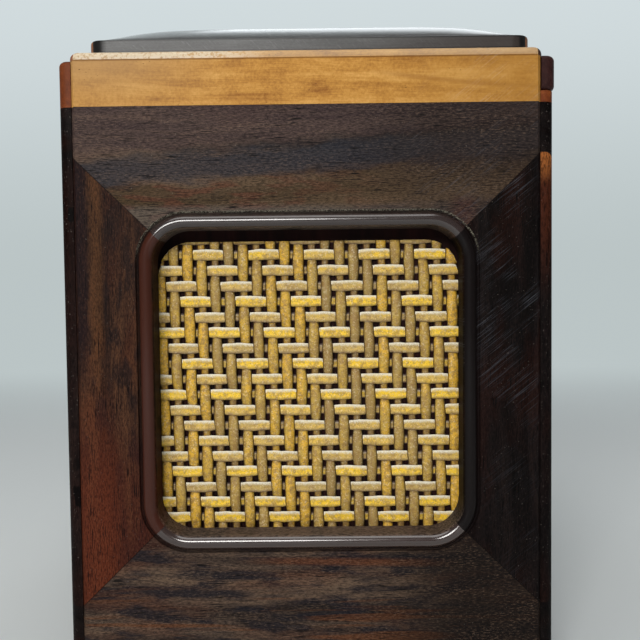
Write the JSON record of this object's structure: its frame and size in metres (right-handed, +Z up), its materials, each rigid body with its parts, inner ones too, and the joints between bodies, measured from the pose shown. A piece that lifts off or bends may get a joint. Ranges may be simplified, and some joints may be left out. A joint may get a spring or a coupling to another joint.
{
  "type": "tea caddy box",
  "caption": "Square hardwood tea caddy with woven bamboo panels in beaded windows, banded corners and a domed lid that slides out sideways in grooves.",
  "frame": {"origin": "middle of the underside, on the surface the caddy stands on", "axes": "+Z up to the crown of the lid, front window faces -Y, the lid slides out towards +X"},
  "size_m": [0.1222, 0.1222, 0.1714],
  "materials": {
    "gold_wood": "satin lacquer",
    "red_wood": "satin lacquer",
    "dark_wood": "satin lacquer",
    "brown_wood": "satin lacquer",
    "orange_wood": "satin lacquer",
    "backing_wood": "stained, matt",
    "bamboo": "lacquered split bamboo",
    "lid_field_wood": "satin lacquer",
    "lid_brown_wood": "satin lacquer",
    "lid_end_wood": "satin lacquer"
  },
  "bodies": {
    "root": {"front_top_rail": "dark_wood", "front_bottom_rail": "dark_wood", "front_left_stile": "brown_wood", "front_right_stile": "dark_wood", "front_top_band": "gold_wood", "front_base_band": "gold_wood", "front_backing_board": "backing_wood", "front_upright_strips": "bamboo", "front_level_strips": "bamboo", "right_top_rail": "dark_wood", "right_bottom_rail": "dark_wood", "right_left_stile": "orange_wood", "right_right_stile": "dark_wood", "right_top_band": "red_wood", "right_base_band": "red_wood", "right_backing_board": "backing_wood", "right_upright_strips": "bamboo", "right_level_strips": "bamboo", "back_top_rail": "dark_wood", "back_bottom_rail": "dark_wood", "back_left_stile": "brown_wood", "back_right_stile": "dark_wood", "back_top_band": "gold_wood", "back_base_band": "gold_wood", "back_backing_board": "backing_wood", "back_upright_strips": "bamboo", "back_level_strips": "bamboo", "left_top_rail": "dark_wood", "left_bottom_rail": "dark_wood", "left_left_stile": "dark_wood", "left_right_stile": "brown_wood", "left_top_band": "red_wood", "left_base_band": "red_wood", "left_backing_board": "backing_wood", "left_upright_strips": "bamboo", "left_level_strips": "bamboo", "bottom_board": "backing_wood"},
    "lid": {"lid_board": "lid_field_wood", "lid_end_piece": "lid_end_wood", "lid_field": "lid_field_wood", "lid_front_frame": "dark_wood", "lid_right_frame": "lid_brown_wood", "lid_back_frame": "dark_wood", "lid_left_frame": "lid_brown_wood"}
  },
  "joints": [
    {"name": "lid_slide", "type": "slide", "parent": "root", "child": "lid", "axis": [1, 0, 0], "range_m": [0, 0.12]}
  ]
}
